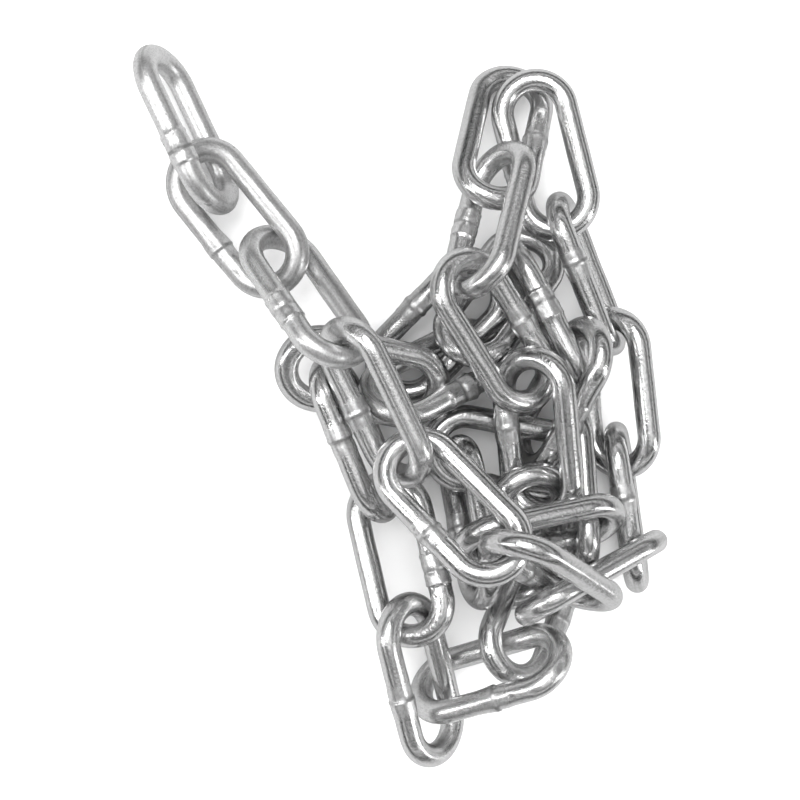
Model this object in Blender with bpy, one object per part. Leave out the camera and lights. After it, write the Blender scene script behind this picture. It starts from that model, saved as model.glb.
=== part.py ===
"""Heap of steel chain: one length of welded long-link chain, thrown down in a loose heap.

Every link is a round wire bent to a long ring. It is caught in its two neighbours and lies on
the floor or on the links below it. Metres, +Z up. The origin is on the floor, under the middle
of the heap's box.
"""
from collections import namedtuple
from math import cos, degrees, pi, radians, sin

import bpy
import numpy as np
from mathutils import Matrix, Vector

MM = 0.001

# Driving dimensions of a link
WIRE = 5 * MM
PITCH = 28 * MM
OUTER_WIDTH = 19 * MM
BEND_RADIUS = (OUTER_WIDTH - WIRE) / 2
HALF_RUN = (PITCH + WIRE) / 2 - BEND_RADIUS
BEND_STEPS = 8
SECTION_ROUNDNESS = 2
SECTION_SIDES = 4 + 2 * SECTION_ROUNDNESS

# A link on edge that leans half a facet of its wire's section rests on a flat
LEAN = 180 / SECTION_SIDES

# Bright zinc plating
ZINC_COLOUR = (0.72, 0.73, 0.74, 1.0)
ZINC_ROUGHNESS = 0.22

# The rough lie of each link: the two tips of its wire's middle line in millimetres, and how far
# the link is rolled about its length, in degrees. At no roll its plane is level across, and
# with a positive roll its left side is raised, seen from the first tip to the second.
Lie = namedtuple("Lie", "start end roll")

FREE_END = [
    Lie((-52, 71, 9), (-38, 41, 9), -65),
    Lie((-44, 50, 7), (-24, 26, 11), 15),
    Lie((-29, 36, 9), (-16, 6, 21), -60),
]
OVER_THE_TOP = [
    Lie((-15, 13, 21), (-2, -15, 22), 60),
    Lie((-5, -7, 22), (16, -27, 26), 5),
    Lie((9, -22, 30), (41, -42, 17), 80),
]
RIGHT_LOOP = [
    Lie((24, -43, 17), (54, -29, 15), 75),
    Lie((48, -7, 9), (53, -40, 9), 90 + LEAN),
    Lie((43, 19, 6), (51, -14, 9), 15),
    Lie((33, 44, 10), (43, 12, 10), 72),
    Lie((29, 70, 8), (36, 37, 9), 20),
]
DOWN_FROM_THE_LOOP = [
    Lie((25, 72, 3), (16, 42, 16), 10),
    Lie((25, 52, 12), (10, 25, 24), 75),
    Lie((9, 26, 24), (27, 1, 22), -15),
]
THROUGH_THE_MIDDLE = [
    Lie((25, 6, 22), (27, -26, 15), 50),
    Lie((26, -16, 14), (28, -46, 4), 0),
    Lie((18, -54, 17), (37, -32, 4), -15),
]
LOWER_EDGE = [
    Lie((8, -63, 5), (29, -51, 21), -60),
    Lie((0, -43, 15), (7, -75, 10), -50),
    Lie((-3, -18, 8), (3, -50, 14), 20),
]
LEFT_SIDE = [
    Lie((-15, 7, 10), (-3, -23, 9), -60),
    Lie((-20, 9, 11), (9, -3, 9), 10),
    Lie((-8, 2, 14), (23, 11, 6), -35),
]
UPPER_MIDDLE = [
    Lie((-2, 5, 3), (21, 26, 12), -5),
    Lie((31, 36, 4), (12, 10, 14), 20),
    Lie((23, 31, 10), (39, 4, 15), -80),
    Lie((38, 13, 21), (34, -15, 7), 65),
]
HIDDEN_END = [
    Lie((11, -11, 7), (43, -11, 8), 0),
    Lie((11, -42, 15), (18, -10, 11), -60),
    Lie((12, -28, 18), (44, -26, 21), 50),
    Lie((38, -33, 14), (39, -2, 9), -70),
]
CHAIN = (FREE_END + OVER_THE_TOP + RIGHT_LOOP + DOWN_FROM_THE_LOOP + THROUGH_THE_MIDDLE
         + LOWER_EDGE + LEFT_SIDE + UPPER_MIDDLE + HIDDEN_END)

# The link that leans on edge and gives the heap its flat place to rest on
LEANING_LINK = CHAIN.index(RIGHT_LOOP[1])
LEANING_HEIGHT = (BEND_RADIUS + WIRE / 2) * cos(radians(LEAN))

# How the rough lies settle. The clearance is between the wires' surfaces, and the reach is how
# far apart two links' middles can be while they still touch.
STEPS = 1200
CLEARANCE = 0.35 * MM
FLOOR_CLEARANCE = 0.1 * MM
SLACK = 0.05 * MM
REACH = 42 * MM
LARGEST_DRAW = 0.6 * MM
LARGEST_MOVE = 0.8 * MM
LARGEST_TURN = 0.06
PULL = 0.015
LEVEL_PULL = np.array([1, 1, 0.3])
SINK = 0.012 * MM
PULL_ENDS_AT = 0.625
SHARE = 1.3
TURN_INERTIA = np.array([30, 110, 130]) * MM ** 2
PLACE_DIGITS = 5
ANGLE_DIGITS = 2

UP = np.array([0.0, 0.0, 1.0])


def clear_scene():
    for item in list(bpy.data.objects):
        bpy.data.objects.remove(item, do_unlink=True)


def unit(vector):
    return vector / np.linalg.norm(vector)


def middle_line():
    """Points along the middle of a link's wire, its length on X and its width on Y."""
    angles = np.linspace(-pi / 2, pi / 2, BEND_STEPS + 1)
    x = HALF_RUN + BEND_RADIUS * np.cos(angles)
    y = BEND_RADIUS * np.sin(angles)
    bend = np.stack([x, y, np.zeros(len(angles))], axis=1)
    return np.concatenate([bend, -bend])


def place_and_axes(lie):
    """A link's middle, and its length, width and thickness axes as columns."""
    start = np.array(lie.start) * MM
    end = np.array(lie.end) * MM
    length = unit(end - start)
    level = unit(np.cross(UP, length))
    roll = radians(lie.roll)
    width = level * cos(roll) + np.cross(length, level) * sin(roll)
    return (start + end) / 2, np.stack([length, width, np.cross(length, width)], axis=1)


def nearest_points(start_a, end_a, start_b, end_b):
    """The nearest point on each of two straight runs, for whole arrays of runs at once."""
    run_a = end_a - start_a
    run_b = end_b - start_b
    offset = start_a - start_b
    aa = (run_a * run_a).sum(-1)
    bb = (run_b * run_b).sum(-1)
    ab = (run_a * run_b).sum(-1)
    ao = (run_a * offset).sum(-1)
    bo = (run_b * offset).sum(-1)
    spread = aa * bb - ab * ab
    parallel = spread < 1e-9 * aa * bb
    along_a = np.where(parallel, 0, (ab * bo - ao * bb) / np.where(parallel, 1, spread))
    along_b = np.clip((ab * np.clip(along_a, 0, 1) + bo) / bb, 0, 1)
    along_a = np.clip((ab * along_b - ao) / aa, 0, 1)
    return start_a + run_a * along_a[..., None], start_b + run_b * along_b[..., None]


def turn_matrices(turns):
    """Rotation matrices for an array of small turn vectors."""
    angle = np.linalg.norm(turns, axis=1)[:, None, None] + 1e-12
    cross = np.zeros((len(turns), 3, 3))
    cross[:, 0, 1], cross[:, 0, 2], cross[:, 1, 2] = -turns[:, 2], turns[:, 1], -turns[:, 0]
    cross[:, 1, 0], cross[:, 2, 0], cross[:, 2, 1] = turns[:, 2], -turns[:, 1], turns[:, 0]
    return np.eye(3) + np.sin(angle) / angle * cross + (1 - np.cos(angle)) / angle ** 2 * cross @ cross


def shortened(vectors, longest):
    size = np.linalg.norm(vectors, axis=1)[:, None]
    return vectors * np.minimum(1, longest / np.maximum(size, 1e-12))


def response(link, point, direction, places, axes):
    """How easily a push at a point moves each link, and the turn that it gives."""
    torque = np.cross(point - places[link], direction)
    about_axes = np.einsum("nij,ni->nj", axes[link], torque)
    turn = np.einsum("nij,nj->ni", axes[link], about_axes / TURN_INERTIA)
    return 1 + (torque * turn).sum(1), turn


def contacts(lines, places):
    """Where links are too near, or neighbours too far apart, and how far each has to move."""
    first, second = np.triu_indices(len(places), 1)
    near = np.linalg.norm(places[first] - places[second], axis=1) < REACH
    near |= second == first + 1
    first, second = first[near], second[near]
    following = np.roll(lines, -1, axis=1)
    on_first, on_second = nearest_points(
        lines[first][:, :, None], following[first][:, :, None],
        lines[second][:, None], following[second][:, None])
    between = (on_first - on_second).reshape(len(first), -1, 3)
    distance = np.linalg.norm(between, axis=2)
    wanted = WIRE + CLEARANCE
    touching = distance < wanted
    nearest = distance.argmin(axis=1)
    rows = np.arange(len(first))
    loose = (second == first + 1) & (distance[rows, nearest] > wanted + SLACK)
    touching[rows[loose], nearest[loose]] = True
    pair, spot = np.where(touching)
    gap = distance[pair, spot]
    return (first[pair], second[pair],
            on_first.reshape(len(first), -1, 3)[pair, spot],
            on_second.reshape(len(first), -1, 3)[pair, spot],
            between[pair, spot] / np.maximum(gap, 1e-9)[:, None],
            np.maximum(wanted - gap, -LARGEST_DRAW))


def settle(places, axes):
    """Eases the links apart where they cut into each other, and draws neighbours together."""
    places, axes = places.copy(), axes.copy()
    wanted_places, wanted_axes = places.copy(), axes.copy()
    shape = middle_line()
    for step in range(STEPS):
        lines = places[:, None] + shape @ axes.transpose(0, 2, 1)
        move = np.zeros_like(places)
        turn = np.zeros_like(places)
        count = np.zeros(len(places))

        one, other, at_one, at_other, direction, depth = contacts(lines, places)
        ease_one, turn_one = response(one, at_one, direction, places, axes)
        ease_other, turn_other = response(other, at_other, direction, places, axes)
        amount = (depth / (ease_one + ease_other))[:, None]
        for link, sign, its_turn in ((one, 1, turn_one), (other, -1, turn_other)):
            np.add.at(move, link, sign * direction * amount)
            np.add.at(turn, link, sign * its_turn * amount)
            np.add.at(count, link, 1)

        lowest = WIRE / 2 + FLOOR_CLEARANCE
        under, point = np.where(lines[..., 2] < lowest)
        upwards = np.tile(UP, (len(under), 1))
        ease, lift_turn = response(under, lines[under, point], upwards, places, axes)
        amount = ((lowest - lines[under, point, 2]) / ease)[:, None]
        np.add.at(move, under, upwards * amount)
        np.add.at(turn, under, lift_turn * amount)
        np.add.at(count, under, 1)

        share = SHARE / np.maximum(count, 1)[:, None]
        pull = PULL * max(0.0, 1 - step / STEPS / PULL_ENDS_AT)
        move = move * share + (wanted_places - places) * pull * LEVEL_PULL
        move -= UP * SINK * pull / PULL
        back = sum(np.cross(axes[:, :, k], wanted_axes[:, :, k]) for k in range(3))
        turn = turn * share + back * pull / 2
        move[LEANING_LINK] = 0
        turn[LEANING_LINK] = 0
        places += shortened(move, LARGEST_MOVE)
        axes = turn_matrices(shortened(turn, LARGEST_TURN)) @ axes
        left, _, right = np.linalg.svd(axes)
        axes = left @ right
    return places, axes


def settled_lies():
    """Where each link lies at the end, rounded so that every build gives the same heap."""
    rough = [place_and_axes(lie) for lie in CHAIN]
    places = np.array([place for place, _ in rough])
    axes = np.array([turn for _, turn in rough])
    places[LEANING_LINK, 2] = LEANING_HEIGHT
    places, axes = settle(places, axes)
    lies = []
    for place, turn in zip(places, axes):
        angles = Matrix(turn.tolist()).to_euler("XYZ")
        rounded = [radians(round(degrees(angle), ANGLE_DIGITS)) for angle in angles]
        lies.append((place.round(PLACE_DIGITS).tolist(), rounded))
    lies[LEANING_LINK][0][2] = LEANING_HEIGHT
    return lies


def zinc_material():
    material = bpy.data.materials.new("bright_zinc_plated_steel")
    material.use_nodes = True
    shader = material.node_tree.nodes["Principled BSDF"]
    shader.inputs["Base Color"].default_value = ZINC_COLOUR
    shader.inputs["Roughness"].default_value = ZINC_ROUGHNESS
    shader.inputs["Metallic"].default_value = 1.0
    return material


def link_wire(material):
    """One link's wire: a closed run of straight pieces with an eight-sided section, whose
    corners face along the link's width and its thickness."""
    wire = bpy.data.curves.new("link_wire", "CURVE")
    wire.dimensions = "3D"
    wire.twist_mode = "Z_UP"
    wire.bevel_depth = WIRE / 2
    wire.bevel_resolution = SECTION_ROUNDNESS
    points = middle_line()
    run = wire.splines.new("POLY")
    run.points.add(len(points) - 1)
    for spot, (x, y, z) in zip(run.points, points):
        spot.co = (x, y, z, 1.0)
    run.use_cyclic_u = True
    run.use_smooth = True
    wire.materials.append(material)
    return wire


def place_links(wire, collection):
    """The links of the heap, each its own object, all under one empty."""
    heap = bpy.data.objects.new("chain_heap", None)
    collection.objects.link(heap)
    links = []
    for number, (place, angles) in enumerate(settled_lies(), start=1):
        link = bpy.data.objects.new(f"link_{number:02d}", wire)
        link.location = place
        link.rotation_euler = angles
        link.parent = heap
        collection.objects.link(link)
        links.append(link)
    return heap, links


def stand_on_origin(heap, links):
    """Moves the heap so that the bottom middle of its box is at the origin."""
    bpy.context.view_layer.update()
    graph = bpy.context.evaluated_depsgraph_get()
    corners = []
    for link in links:
        evaluated = link.evaluated_get(graph)
        mesh = evaluated.to_mesh()
        corners += [evaluated.matrix_world @ vertex.co for vertex in mesh.vertices]
        evaluated.to_mesh_clear()
    low = Vector([min(corner[k] for corner in corners) for k in range(3)])
    high = Vector([max(corner[k] for corner in corners) for k in range(3)])
    heap.location = (-(low.x + high.x) / 2, -(low.y + high.y) / 2, -low.z)
    bpy.context.view_layer.update()


def main():
    clear_scene()
    collection = bpy.data.collections.new("heap_of_steel_chain")
    bpy.context.scene.collection.children.link(collection)
    heap, links = place_links(link_wire(zinc_material()), collection)
    stand_on_origin(heap, links)


main()
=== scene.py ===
"""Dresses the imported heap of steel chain: smooth welded links, bright zinc, a pale floor."""
import math
import random

import bmesh
import bpy
import numpy as np
from bpy.props import FloatProperty, FloatVectorProperty, IntProperty, PointerProperty
from mathutils import Matrix, Vector, noise


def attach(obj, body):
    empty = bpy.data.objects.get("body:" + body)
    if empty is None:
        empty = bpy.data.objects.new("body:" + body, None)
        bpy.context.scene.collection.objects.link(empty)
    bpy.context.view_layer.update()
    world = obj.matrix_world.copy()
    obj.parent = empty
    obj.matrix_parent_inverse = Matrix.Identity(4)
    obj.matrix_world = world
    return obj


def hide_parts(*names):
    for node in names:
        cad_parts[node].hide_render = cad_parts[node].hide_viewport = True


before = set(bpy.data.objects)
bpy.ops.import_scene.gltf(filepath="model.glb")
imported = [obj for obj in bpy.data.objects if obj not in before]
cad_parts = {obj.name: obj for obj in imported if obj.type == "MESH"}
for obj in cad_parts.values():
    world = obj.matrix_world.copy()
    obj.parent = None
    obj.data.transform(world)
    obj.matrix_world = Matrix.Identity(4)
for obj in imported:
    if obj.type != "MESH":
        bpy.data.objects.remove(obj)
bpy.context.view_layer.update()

bl_info = {
    "name": "Heap of Steel Chain",
    "version": (1, 0, 0),
    "blender": (4, 5, 0),
    "location": "View3D > Sidebar > Chain Heap",
    "description": "Models the links of a heap of welded chain and the studio around it",
    "category": "Add Mesh",
}

MM = 0.001

# How the wire's thickness runs across a weld: millimetres along the wire, and the scale there
RING = [(-3.8, 1.0), (-3.0, 1.02), (-2.1, 1.045), (-1.2, 1.055), (-0.8, 1.055), (-0.5, 1.095),
        (-0.2, 1.12), (0.2, 1.12), (0.5, 1.09), (0.8, 1.05), (1.2, 1.055), (2.1, 1.04), (3.0, 1.02),
        (3.8, 1.0)]
COLLAR = [(-4.6, 1.0), (-4.0, 1.01), (-3.5, 1.03), (-3.25, 1.105), (-2.95, 1.12), (-2.5, 1.09),
          (-1.4, 1.095), (-0.45, 1.10), (-0.18, 1.05), (0.18, 1.05), (0.45, 1.10), (1.4, 1.105),
          (2.5, 1.09), (2.95, 1.125), (3.25, 1.105), (3.5, 1.025), (4.0, 1.01), (4.6, 1.0)]
STEP = [(-3.6, 1.0), (-2.4, 1.015), (-1.2, 1.025), (-0.4, 1.01), (-0.14, 1.06), (0.14, 1.135),
        (0.5, 1.125), (1.3, 1.095), (2.2, 1.07), (3.4, 1.03), (4.8, 1.0)]
FLARE = [(-4.8, 1.0), (-4.2, 1.02), (-3.6, 1.05), (-3.2, 1.12), (-2.9, 1.13), (-2.4, 1.09),
         (-1.2, 1.07), (-0.4, 1.08), (-0.15, 1.04), (0.15, 1.04), (0.4, 1.10), (1.2, 1.14),
         (2.0, 1.19), (2.6, 1.23), (3.0, 1.22), (3.3, 1.10), (4.0, 1.03), (4.8, 1.0)]
WELD_FORMS = {"ring": RING, "collar": COLLAR, "step": STEP, "flare": FLARE}

# Where each link has its weld: the way its welded side faces in the heap, the weld's form, and how far
# it lies from the side's middle towards the link's lower end, in millimetres
LEFT, RIGHT = Vector((-1, 0, 0)), Vector((1, 0, 0))
FAR, NEAR = Vector((0, 1, 0)), Vector((0, -1, 0))
TOP, UNDER = Vector((0, 0, 1)), Vector((0, 0, -1))
WELDS = {
    "link_01": (LEFT, "collar", -4.3),
    "link_02": (LEFT + NEAR, "step", -3.0),
    "link_03": (LEFT, "collar", -3.0),
    "link_04": (LEFT + NEAR, "ring", 1.0),
    "link_05": (LEFT + NEAR, "ring", -1.0),
    "link_06": (UNDER, "ring", 0.0),
    "link_07": (UNDER, "step", 0.0),
    "link_08": (TOP, "ring", -3.0),
    "link_09": (UNDER, "ring", 0.0),
    "link_10": (TOP, "ring", -4.0),
    "link_11": (UNDER, "ring", 0.0),
    "link_12": (RIGHT, "ring", 1.0),
    "link_13": (LEFT, "collar", 0.0),
    "link_14": (RIGHT, "step", 1.5),
    "link_15": (LEFT, "ring", -2.0),
    "link_16": (UNDER, "ring", 0.0),
    "link_17": (UNDER, "ring", 0.0),
    "link_18": (NEAR, "step", -2.2),
    "link_19": (LEFT, "step", 1.0),
    "link_20": (RIGHT, "collar", -4.3),
    "link_21": (LEFT, "step", 1.5),
    "link_22": (UNDER, "ring", 0.0),
    "link_23": (NEAR, "flare", 0.0),
    "link_24": (UNDER, "ring", 0.0),
    "link_25": (UNDER, "ring", 0.0),
    "link_26": (TOP, "collar", 3.0),
    "link_27": (TOP, "flare", 0.0),
    "link_28": (UNDER, "ring", 3.0),
    "link_29": (UNDER, "ring", 0.0),
    "link_30": (NEAR, "ring", 3.0),
    "link_31": (UNDER, "ring", -3.0),
}

# How satin and how dulled the plating of a link is, from 0 to 1, and what the other links have
SATIN = {"link_01": 0.9, "link_02": 0.85, "link_03": 0.7, "link_04": 0.35, "link_07": 0.4,
         "link_13": 0.4, "link_18": 0.5, "link_19": 0.3, "link_23": 0.6, "link_26": 0.4}
DULLED = {"link_06": 0.3, "link_15": 0.35, "link_23": 0.8, "link_24": 0.6, "link_26": 0.5,
          "link_27": 0.3, "link_28": 0.5, "link_29": 0.4, "link_30": 0.3, "link_31": 0.5}
PLAIN_SATIN = 0.05
PLAIN_DULLED = 0.08

# How uneven the wire and its weld are
WAVES_A_METRE = 170
WAVE_DEPTH = 0.07 * MM
LUMPS_A_METRE = 850
LUMP_DEPTH = 0.16 * MM
WELD_REACH = 6 * MM
MERGE_REACH = 0.02 * MM

# The plating's patterns: features to the metre, how the draw lines are stretched along the wire, and
# between which values of a patch its mask goes from nothing to full
FINE_LINES = 1500.0
BROAD_LINES = 420.0
CLOUDS = 95.0
SPECKS = 2400.0
NICKS = 380.0
LINE_STRETCH = (0.03, 0.03, 1.0)
SOFT_EDGE = {"Low": 0.42, "High": 0.66}
SHARP_EDGE = {"Low": 0.66, "High": 0.72}

# Bands along the wire, from the weld's middle: where each is full, and where it has ended
WELD_SATIN_BAND = (2.5 * MM, 5.0 * MM)
GROOVE_BAND = (0.1 * MM, 0.6 * MM)

# What streaks and specks take from the plate's colour, and how deep all its relief is
STREAK_TINT = (0.38, 0.38, 0.38, 1)
SPECK_TINT = (0.50, 0.50, 0.50, 1)
RELIEF_STRENGTH = 0.42
RELIEF_DEPTH = 0.06 * MM

# The room that the metal mirrors: how high a band lies, from the horizon at 0 to overhead at 1, and
# its grey
ROOM_BANDS = [(0.0, 0.85), (0.11, 0.34), (0.24, 0.02), (0.42, 0.10), (0.56, 0.85), (0.68, 0.30),
              (0.80, 0.04), (0.90, 0.45), (1.0, 1.0)]
ROOM_LIGHT = 1.85

# The soft lights: place, width and height in metres, and power in watts
SOFTBOXES = {
    "overhead_box": ((-0.25, 0.22, 0.75), (0.50, 0.30), 2.6),
    "side_box": ((0.7, -0.3, 0.45), (0.12, 0.7), 1.2),
    "left_box": ((-0.8, -0.1, 0.5), (0.12, 0.6), 1.3),
}

# The floor's side and how far it lies under the heap, in metres, and the camera's frame, in
# millimetres, and nearest sight, in metres
FLOOR_SIDE = 6.0
FLOOR_DROP = 0.1 * MM
FLOOR_ROUGHNESS = 0.6
CAMERA_FRAME = 36.0
CAMERA_CLIP = 0.01

# Where the sockets of a colour Mix node stand
MIX_AMOUNT, MIX_FIRST, MIX_SECOND, MIX_RESULT = 0, 6, 7, 2


class ChainSizes(bpy.types.PropertyGroup):
    wire: FloatProperty(
        name="Wire", description="Diameter of the wire", default=5 * MM, unit="LENGTH")
    pitch: FloatProperty(
        name="Pitch", description="Inside length of a link", default=28 * MM, unit="LENGTH")
    width: FloatProperty(
        name="Width", description="Outside width of a link", default=19 * MM, unit="LENGTH")
    section_sides: IntProperty(
        name="Section Sides", description="Faces round the wire", default=40)
    bend_steps: IntProperty(
        name="Bend Steps", description="Rings of faces round each bend", default=26)
    run_step: FloatProperty(
        name="Run Step", description="Length of a ring of faces on the straight runs",
        default=1.2 * MM, unit="LENGTH")


class ZincFinish(bpy.types.PropertyGroup):
    bright: FloatVectorProperty(
        name="Bright", description="Clean zinc plate", subtype="COLOR", size=4,
        default=(0.83, 0.83, 0.83, 1))
    dull: FloatVectorProperty(
        name="Dull", description="Dulled zinc plate", subtype="COLOR", size=4,
        default=(0.50, 0.50, 0.50, 1))
    grime: FloatVectorProperty(
        name="Grime", description="Dirt in the nicks and in the weld's groove", subtype="COLOR", size=4,
        default=(0.07, 0.07, 0.07, 1))
    polish: FloatProperty(
        name="Polish", description="Roughness of the bright plate", subtype="FACTOR", default=0.09)
    satin: FloatProperty(
        name="Satin", description="Roughness of the satin plate", subtype="FACTOR", default=0.36)


class StudioView(bpy.types.PropertyGroup):
    target: FloatVectorProperty(
        name="Target", description="Point that the camera looks at", subtype="XYZ", unit="LENGTH",
        size=3, default=(-0.6 * MM, 1.9 * MM, 8 * MM))
    distance: FloatProperty(
        name="Distance", description="From the camera to its target", unit="LENGTH", default=0.28)
    lean: FloatProperty(
        name="Lean", description="How far the camera leans to the left of overhead", subtype="ANGLE",
        default=math.radians(10))
    lens: FloatProperty(
        name="Lens", description="Focal length in millimetres on a 36 mm frame", default=58.95)
    floor_colour: FloatVectorProperty(
        name="Floor", description="Colour of the pale floor", subtype="COLOR", size=4,
        default=(0.95, 0.95, 0.95, 1))
    mirrored_floor: FloatVectorProperty(
        name="Mirrored Floor", description="Colour of the floor as the metal mirrors it",
        subtype="COLOR", size=4, default=(0.36, 0.36, 0.36, 1))


def sizes():
    return bpy.context.scene.chain_sizes


def finish():
    return bpy.context.scene.zinc_finish


def view():
    return bpy.context.scene.studio_view


def bend_radius():
    return (sizes().width - sizes().wire) / 2


def half_run():
    return (sizes().pitch + sizes().wire) / 2 - bend_radius()


def wire_length():
    return 4 * half_run() + 2 * math.pi * bend_radius()


def nothing_selected():
    if bpy.context.object and bpy.context.object.mode != "OBJECT":
        bpy.ops.object.mode_set(mode="OBJECT")
    bpy.ops.object.select_all(action="DESELECT")


def carry_ring(offset, scale, centre):
    """Extrudes the selected ring along the run and sizes it about the wire's middle."""
    bpy.ops.mesh.extrude_region_move(TRANSFORM_OT_translate={"value": offset})
    if scale != 1.0:
        bpy.ops.transform.resize(value=(1, scale, scale), center_override=centre)


def straight_run(start, end, side):
    """Carries the ring along one straight side in even steps."""
    steps = max(2, round(abs(end - start) / sizes().run_step))
    step = (end - start) / steps
    for k in range(steps):
        centre = Vector((start + step * (k + 1), side * bend_radius(), 0))
        carry_ring((step, 0, 0), 1.0, centre)


def bend(side):
    """Turns the ring half round one end of the link."""
    bpy.ops.mesh.spin(steps=sizes().bend_steps, angle=-math.pi, center=(side * half_run(), 0, 0),
                      axis=(0, 0, 1))


def welded_side(profile):
    """Carries the ring over the weld, from the bend's end at the left to that at the right."""
    side = -1
    stops = [x * MM for x, _ in profile]
    straight_run(-half_run(), stops[0], side)
    last, last_scale = stops[0], 1.0
    for x, scale in profile[1:]:
        centre = Vector((x * MM, side * bend_radius(), 0))
        carry_ring((x * MM - last, 0, 0), scale / last_scale, centre)
        last, last_scale = x * MM, scale
    straight_run(last, half_run(), side)


def model_link(name, profile):
    """One link at the origin, its length on X, with its weld in the middle of the -Y side."""
    nothing_selected()
    bpy.ops.mesh.primitive_circle_add(
        vertices=sizes().section_sides, radius=sizes().wire / 2, fill_type="NOTHING",
        location=(-half_run(), -bend_radius(), 0), rotation=(0, math.pi / 2, 0))
    link = bpy.context.object
    link.name = name
    bpy.ops.object.transform_apply(location=True, rotation=True, scale=True)
    bpy.ops.object.mode_set(mode="EDIT")
    bpy.ops.mesh.select_all(action="SELECT")
    welded_side(profile)
    bend(1)
    straight_run(half_run(), -half_run(), 1)
    bend(-1)
    bpy.ops.mesh.select_all(action="SELECT")
    bpy.ops.mesh.remove_doubles(threshold=MERGE_REACH)
    bpy.ops.mesh.normals_make_consistent(inside=False)
    bpy.ops.object.mode_set(mode="OBJECT")
    bpy.ops.object.shade_smooth()
    if not is_closed(link):
        raise RuntimeError(f"{name} isn't closed")
    return link


def is_closed(piece):
    """Whether every edge of a piece's mesh has a face on each side."""
    shape = bmesh.new()
    shape.from_mesh(piece.data)
    closed = all(len(edge.link_faces) == 2 for edge in shape.edges)
    shape.free()
    return closed


def place_along_wire(point):
    """Where a point of a master lies: its distance from the weld along the wire, its outward offset
    from the wire's middle in the link's plane, and how far into a bend it is, from 0 to 1."""
    radius, run = bend_radius(), half_run()
    if abs(point.x) <= run:
        outward = abs(point.y) - radius
        along = point.x if point.y < 0 else math.copysign(wire_length() / 2, point.x) - point.x
        return along, outward, 0.0
    side = math.copysign(1, point.x)
    angle = math.atan2(point.y, abs(point.x) - run)
    outward = math.hypot(point.y, abs(point.x) - run) - radius
    along = side * (run + radius * (angle + math.pi / 2))
    return along, outward, math.cos(angle)


def mark_wire(link):
    """Stores, for the plating, where each point lies along and across the bent wire."""
    count = len(link.data.vertices)
    round_wire = np.zeros((count, 3), np.float32)
    depth = np.zeros(count, np.float32)
    from_weld = np.zeros(count, np.float32)
    contact = np.zeros(count, np.float32)
    circle = wire_length() / (2 * math.pi)
    for number, vertex in enumerate(link.data.vertices):
        along, outward, bent = place_along_wire(vertex.co)
        turn = along / circle
        round_wire[number] = (circle * math.cos(turn), circle * math.sin(turn), outward)
        depth[number] = vertex.co.z
        from_weld[number] = abs(along)
        contact[number] = bent * max(0.0, -outward / (sizes().wire / 2))
    store(link, "round_wire", "FLOAT_VECTOR", "vector", round_wire)
    store(link, "wire_depth", "FLOAT", "value", depth)
    store(link, "from_weld", "FLOAT", "value", from_weld)
    store(link, "contact", "FLOAT", "value", contact)


def store(link, name, kind, field, values):
    attribute = link.data.attributes.new(name, kind, "POINT")
    attribute.data.foreach_set(field, values.ravel())


def make_uneven(link, chance):
    """Gives a link the slight waves of its wire and the rough lips of its weld."""
    own = Vector([chance.uniform(0, 50) for _ in range(3)])
    mesh = link.data
    normals = [vertex.normal.copy() for vertex in mesh.vertices]
    for vertex, normal in zip(mesh.vertices, normals):
        along, _, _ = place_along_wire(vertex.co)
        near_weld = max(0.0, 1 - abs(along) / WELD_REACH) if vertex.co.y < 0 else 0.0
        wave = noise.noise(vertex.co * WAVES_A_METRE + own) * WAVE_DEPTH
        lump = noise.noise(vertex.co * LUMPS_A_METRE + own) * LUMP_DEPTH * min(1.0, 2 * near_weld)
        vertex.co += normal * (wave + lump)


def shift_weld(link, shift):
    """Slides the weld along its straight side, and less and less towards the bends."""
    run = half_run()
    for vertex in link.data.vertices:
        if vertex.co.y < 0 and abs(vertex.co.x) < run:
            vertex.co.x += shift * (1 - (vertex.co.x / run) ** 2)


def link_axes(node):
    """A packed link's middle, and its length and width axes."""
    weights = np.array([face.area for face in node.data.polygons])
    middles = np.array([face.center for face in node.data.polygons])
    middle = (middles * weights[:, None]).sum(0) / weights.sum()
    spread = middles - middle
    _, axes = np.linalg.eigh((spread * weights[:, None]).T @ spread)
    return Vector(middle), Vector(axes[:, 2]), Vector(axes[:, 1])


def place_in_heap(node, facing):
    """The matrix that lays a master over a packed link, with its welded side facing as named and its
    +X end the lower one."""
    middle, length, width = link_axes(node)
    if width.dot(facing) > 0:
        width = -width
    if length.z > 0:
        length = -length
    turn = Matrix((length, width, length.cross(width))).transposed().to_4x4()
    return Matrix.Translation(middle) @ turn


def put_link(master, name, node):
    """Lays a copy of a master in the place of a packed link, with its own weld and plating."""
    facing, _, shift = WELDS[name]
    link = master.copy()
    link.data = master.data.copy()
    link.name = f"{name}_bright"
    bpy.context.scene.collection.objects.link(link)
    chance = random.Random(name)
    make_uneven(link, chance)
    shift_weld(link, shift * MM)
    link.data.transform(place_in_heap(node, facing))
    marks = {
        "satin": SATIN.get(name, PLAIN_SATIN),
        "dulled": DULLED.get(name, PLAIN_DULLED),
        "own_grain": chance.uniform(0, 1),
    }
    for mark, amount in marks.items():
        store(link, mark, "FLOAT", "value", np.full(len(link.data.vertices), amount, np.float32))
    for vertex in link.data.vertices:
        vertex.co.z = max(vertex.co.z, 0.0)
    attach(link, "root")
    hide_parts(name)


def add_input(tree, name, default):
    socket = tree.interface.new_socket(name=name, in_out="INPUT", socket_type="NodeSocketFloat")
    socket.default_value = default


def add_output(tree, name):
    tree.interface.new_socket(name=name, in_out="OUTPUT", socket_type="NodeSocketFloat")


def new_node(tree, kind, **settings):
    """A node of a kind, with its settings and the values of its inputs by name."""
    node = tree.nodes.new(kind)
    for name, value in settings.items():
        if name == "inputs":
            for socket, amount in value.items():
                node.inputs[socket].default_value = amount
        else:
            setattr(node, name, value)
    return node


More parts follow.
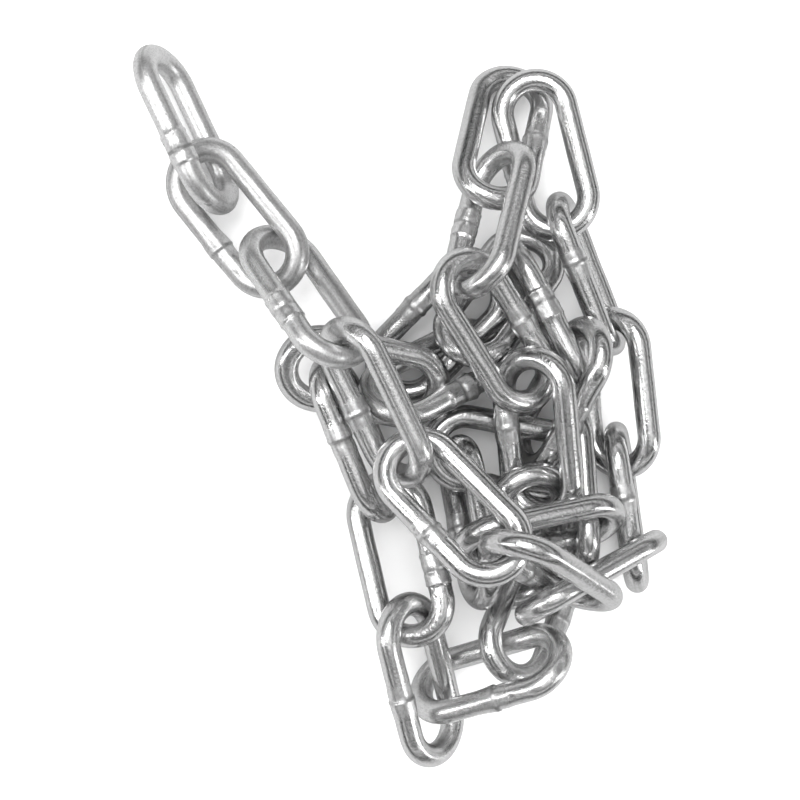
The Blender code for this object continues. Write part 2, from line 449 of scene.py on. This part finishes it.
def attribute_node(tree, name):
    return new_node(tree, "ShaderNodeAttribute", attribute_name=name, attribute_type="GEOMETRY")


def feed(tree, socket, value):
    """Links an input to another node's output, or sets it to a plain number or colour."""
    if isinstance(value, bpy.types.NodeSocket):
        tree.links.new(value, socket)
    else:
        socket.default_value = value


def maths(tree, operation, first, second, clamp=False):
    """A Math node of two outputs or numbers; gives its output."""
    node = new_node(tree, "ShaderNodeMath", operation=operation, use_clamp=clamp)
    feed(tree, node.inputs[0], first)
    feed(tree, node.inputs[1], second)
    return node.outputs[0]


def graded(tree, value, given, wanted, steps="SMOOTHSTEP"):
    """Turns one range of a value, low and high, into another; gives the output."""
    ends = {"From Min": given[0], "From Max": given[1], "To Min": wanted[0], "To Max": wanted[1]}
    node = new_node(tree, "ShaderNodeMapRange", interpolation_type=steps, inputs=ends)
    tree.links.new(value, node.inputs["Value"])
    return node.outputs["Result"]


def colour_mix(tree, amount, first, second, blend="MIX"):
    """A colour Mix node of outputs or plain values; gives its output."""
    node = new_node(tree, "ShaderNodeMix", data_type="RGBA", blend_type=blend)
    for slot, value in ((MIX_AMOUNT, amount), (MIX_FIRST, first), (MIX_SECOND, second)):
        feed(tree, node.inputs[slot], value)
    return node.outputs[MIX_RESULT]


def draw_lines_group():
    """Fine lines that drawing leaves along a wire, also round its bends."""
    tree = bpy.data.node_groups.new("draw_lines", "ShaderNodeTree")
    add_input(tree, "Count", FINE_LINES)
    add_output(tree, "Lines")
    entry = tree.nodes.new("NodeGroupInput")
    leave = tree.nodes.new("NodeGroupOutput")
    place = attribute_node(tree, "round_wire")
    depth = attribute_node(tree, "wire_depth")
    own = attribute_node(tree, "own_grain")
    stretch = new_node(tree, "ShaderNodeVectorMath", operation="MULTIPLY")
    stretch.inputs[1].default_value = LINE_STRETCH
    tree.links.new(place.outputs["Vector"], stretch.inputs[0])
    fourth = maths(tree, "ADD", depth.outputs["Fac"], own.outputs["Fac"])
    grain = new_node(tree, "ShaderNodeTexNoise", noise_dimensions="4D",
                     inputs={"Detail": 3.0, "Roughness": 0.6})
    tree.links.new(stretch.outputs[0], grain.inputs["Vector"])
    tree.links.new(fourth, grain.inputs["W"])
    tree.links.new(entry.outputs["Count"], grain.inputs["Scale"])
    tree.links.new(grain.outputs["Fac"], leave.inputs["Lines"])
    return tree


def patches_group():
    """Soft cloudy patches on the surface, different on every link."""
    tree = bpy.data.node_groups.new("cloudy_patches", "ShaderNodeTree")
    add_input(tree, "Scale", CLOUDS)
    for name, default in SOFT_EDGE.items():
        add_input(tree, name, default)
    add_output(tree, "Mask")
    entry = tree.nodes.new("NodeGroupInput")
    leave = tree.nodes.new("NodeGroupOutput")
    place = tree.nodes.new("ShaderNodeTexCoord")
    own = attribute_node(tree, "own_grain")
    grain = new_node(tree, "ShaderNodeTexNoise", noise_dimensions="4D",
                     inputs={"Detail": 4.0, "Roughness": 0.55, "Distortion": 0.4})
    tree.links.new(place.outputs["Object"], grain.inputs["Vector"])
    tree.links.new(own.outputs["Fac"], grain.inputs["W"])
    tree.links.new(entry.outputs["Scale"], grain.inputs["Scale"])
    spread = new_node(tree, "ShaderNodeMapRange", interpolation_type="SMOOTHSTEP")
    tree.links.new(grain.outputs["Fac"], spread.inputs["Value"])
    tree.links.new(entry.outputs["Low"], spread.inputs["From Min"])
    tree.links.new(entry.outputs["High"], spread.inputs["From Max"])
    tree.links.new(spread.outputs["Result"], leave.inputs["Mask"])
    return tree


def use_group(tree, group, **values):
    """A node that holds a group, with its own values; gives its one output."""
    node = new_node(tree, "ShaderNodeGroup", node_tree=group)
    for name, value in values.items():
        node.inputs[name].default_value = value
    return node.outputs[0]


def new_material(name):
    """A material with its node tree and its shader."""
    material = bpy.data.materials.new(name)
    material.use_nodes = True
    return material, material.node_tree, material.node_tree.nodes["Principled BSDF"]


def zinc_material():
    """Zinc plate over drawn wire: bright, satin or dulled, lined, nicked, and dirty at the weld."""
    material, tree, shader = new_material("bright_zinc")
    lines = draw_lines_group()
    patches = patches_group()

    fine = use_group(tree, lines, Count=FINE_LINES)
    broad = use_group(tree, lines, Count=BROAD_LINES)
    cloud = use_group(tree, patches, Scale=CLOUDS, **SOFT_EDGE)
    speckle = use_group(tree, patches, Scale=SPECKS, **SOFT_EDGE)
    nicks = use_group(tree, patches, Scale=NICKS, **SHARP_EDGE)
    satin_link = attribute_node(tree, "satin").outputs["Fac"]
    dulled_link = attribute_node(tree, "dulled").outputs["Fac"]
    from_weld = attribute_node(tree, "from_weld").outputs["Fac"]
    contact = attribute_node(tree, "contact").outputs["Fac"]

    near_weld = graded(tree, from_weld, WELD_SATIN_BAND, (1.0, 0.0))
    groove = graded(tree, from_weld, GROOVE_BAND, (1.0, 0.0))
    rubbed = graded(tree, contact, (0.35, 0.9), (0.0, 1.0))
    satin = maths(tree, "ADD", satin_link, maths(tree, "MULTIPLY", cloud, 0.22), clamp=True)
    satin = maths(tree, "MAXIMUM", satin, maths(tree, "MULTIPLY", near_weld, 0.75))
    clouded = graded(tree, cloud, (0.0, 1.0), (0.6, 1.0))
    dulled = maths(tree, "MULTIPLY", dulled_link, clouded, clamp=True)
    streaks = graded(tree, broad, (0.50, 0.68), (0.0, 0.60))
    dirt = maths(tree, "MULTIPLY", groove, graded(tree, cloud, (0.0, 1.0), (0.25, 0.65)))

    grime = tuple(finish().grime)
    plate = colour_mix(tree, dulled, tuple(finish().bright), tuple(finish().dull))
    plate = colour_mix(tree, streaks, plate, STREAK_TINT, "MULTIPLY")
    plate = colour_mix(tree, maths(tree, "MULTIPLY", speckle, 0.45), plate, SPECK_TINT, "MULTIPLY")
    plate = colour_mix(tree, maths(tree, "MULTIPLY", nicks, 0.5), plate, grime)
    plate = colour_mix(tree, dirt, plate, grime)
    tree.links.new(plate, shader.inputs["Base Color"])

    rough = graded(tree, satin, (0.0, 1.0), (finish().polish, finish().satin), "LINEAR")
    rough = maths(tree, "ADD", rough, graded(tree, fine, (0.3, 0.8), (-0.03, 0.07)))
    rough = maths(tree, "ADD", rough, maths(tree, "MULTIPLY", rubbed, 0.08))
    rough = maths(tree, "ADD", rough, maths(tree, "MULTIPLY", dirt, 0.25), clamp=True)
    tree.links.new(rough, shader.inputs["Roughness"])
    shader.inputs["Metallic"].default_value = 1.0

    height = maths(tree, "MULTIPLY", fine, 0.3)
    for direction, mark, share in (("ADD", broad, 0.9), ("ADD", cloud, 0.8),
                                   ("SUBTRACT", speckle, 0.55), ("SUBTRACT", nicks, 0.8)):
        height = maths(tree, direction, height, maths(tree, "MULTIPLY", mark, share))
    relief = {"Strength": RELIEF_STRENGTH, "Distance": RELIEF_DEPTH}
    bump = new_node(tree, "ShaderNodeBump", inputs=relief)
    tree.links.new(height, bump.inputs["Height"])
    tree.links.new(bump.outputs["Normal"], shader.inputs["Normal"])
    return material


def floor_material():
    """Pale for the eye, and darker where the metal mirrors it."""
    material, tree, shader = new_material("pale_floor")
    rays = tree.nodes.new("ShaderNodeLightPath")
    seen = colour_mix(tree, rays.outputs["Is Glossy Ray"], tuple(view().floor_colour),
                      tuple(view().mirrored_floor))
    tree.links.new(seen, shader.inputs["Base Color"])
    shader.inputs["Roughness"].default_value = FLOOR_ROUGHNESS
    return material


def add_floor():
    nothing_selected()
    bpy.ops.mesh.primitive_plane_add(size=FLOOR_SIDE, location=(0, 0, -FLOOR_DROP))
    floor = bpy.context.object
    floor.name = "floor"
    floor.data.materials.append(floor_material())


def add_softbox(name, place, size, power):
    """A soft light that is turned to the heap's middle."""
    lamp = bpy.data.lights.new(name, "AREA")
    lamp.shape = "RECTANGLE"
    lamp.size, lamp.size_y = size
    lamp.energy = power
    holder = bpy.data.objects.new(name, lamp)
    bpy.context.scene.collection.objects.link(holder)
    holder.location = place
    holder.rotation_euler = (-Vector(place)).to_track_quat("-Z", "Y").to_euler()


def studio_world():
    """A pale room for the eye, and banded greys for the metal to mirror."""
    world = bpy.data.worlds.new("studio")
    world.use_nodes = True
    tree = world.node_tree
    tree.nodes.clear()
    out = tree.nodes.new("ShaderNodeOutputWorld")
    place = tree.nodes.new("ShaderNodeTexCoord")
    split = tree.nodes.new("ShaderNodeSeparateXYZ")
    tree.links.new(place.outputs["Generated"], split.inputs[0])
    ramp = new_node(tree, "ShaderNodeValToRGB")
    for height, _ in ROOM_BANDS[1:-1]:
        ramp.color_ramp.elements.new(height)
    for element, (_, grey) in zip(ramp.color_ramp.elements, ROOM_BANDS):
        element.color = (grey, grey, grey, 1)
    tree.links.new(split.outputs["Z"], ramp.inputs["Fac"])
    mirrored = new_node(tree, "ShaderNodeBackground", inputs={"Strength": 1.0})
    tree.links.new(ramp.outputs["Color"], mirrored.inputs["Color"])
    pale = new_node(tree, "ShaderNodeBackground", inputs={"Color": (1, 1, 1, 1), "Strength": ROOM_LIGHT})
    rays = tree.nodes.new("ShaderNodeLightPath")
    choose = tree.nodes.new("ShaderNodeMixShader")
    tree.links.new(rays.outputs["Is Glossy Ray"], choose.inputs[0])
    tree.links.new(pale.outputs[0], choose.inputs[1])
    tree.links.new(mirrored.outputs[0], choose.inputs[2])
    tree.links.new(choose.outputs[0], out.inputs["Surface"])
    bpy.context.scene.world = world


def add_camera():
    """A camera over the heap that leans to the left, its upper edge towards +Y."""
    lean = view().lean
    looking = Vector((math.sin(lean), 0, -math.cos(lean)))
    right = Vector((math.cos(lean), 0, math.sin(lean)))
    up = Vector((0, 1, 0))
    data = bpy.data.cameras.new("camera")
    data.lens = view().lens
    data.sensor_width = CAMERA_FRAME
    data.clip_start = CAMERA_CLIP
    camera = bpy.data.objects.new("camera", data)
    bpy.context.scene.collection.objects.link(camera)
    turn = Matrix((right, up, -looking)).transposed().to_4x4()
    place = Vector(view().target) - looking * view().distance
    camera.matrix_world = Matrix.Translation(place) @ turn
    bpy.context.scene.camera = camera


class CHAINHEAP_OT_links(bpy.types.Operator):
    """Models a link with each form of weld and lays a copy in the place of every packed link"""
    bl_idname = "chainheap.links"
    bl_label = "Add Links"

    def execute(self, context):
        zinc = zinc_material()
        masters = {}
        for form, profile in WELD_FORMS.items():
            master = model_link(f"master_{form}", profile)
            mark_wire(master)
            master.data.materials.append(zinc)
            masters[form] = master
        for name, node in sorted(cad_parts.items()):
            put_link(masters[WELDS[name][1]], name, node)
        for master in masters.values():
            bpy.data.objects.remove(master)
        return {"FINISHED"}


class CHAINHEAP_OT_studio(bpy.types.Operator):
    """Adds the pale floor, the soft lights and the camera"""
    bl_idname = "chainheap.studio"
    bl_label = "Add Studio"

    def execute(self, context):
        add_floor()
        studio_world()
        for name, (place, size, power) in SOFTBOXES.items():
            add_softbox(name, place, size, power)
        add_camera()
        context.scene.view_settings.view_transform = "Standard"
        return {"FINISHED"}


class CHAINHEAP_PT_panel(bpy.types.Panel):
    bl_label = "Chain Heap"
    bl_space_type = "VIEW_3D"
    bl_region_type = "UI"
    bl_category = "Chain Heap"

    def draw(self, context):
        layout = self.layout
        for group in (sizes(), finish(), view()):
            for name in group.__annotations__:
                layout.prop(group, name)
        layout.operator(CHAINHEAP_OT_links.bl_idname)
        layout.operator(CHAINHEAP_OT_studio.bl_idname)


CLASSES = (ChainSizes, ZincFinish, StudioView, CHAINHEAP_OT_links, CHAINHEAP_OT_studio,
           CHAINHEAP_PT_panel)


def register():
    for item in CLASSES:
        bpy.utils.register_class(item)
    bpy.types.Scene.chain_sizes = PointerProperty(type=ChainSizes)
    bpy.types.Scene.zinc_finish = PointerProperty(type=ZincFinish)
    bpy.types.Scene.studio_view = PointerProperty(type=StudioView)


def unregister():
    del bpy.types.Scene.studio_view
    del bpy.types.Scene.zinc_finish
    del bpy.types.Scene.chain_sizes
    for item in reversed(CLASSES):
        bpy.utils.unregister_class(item)


def main():
    register()
    bpy.ops.chainheap.links()
    bpy.ops.chainheap.studio()


if __name__ == "__main__":
    main()
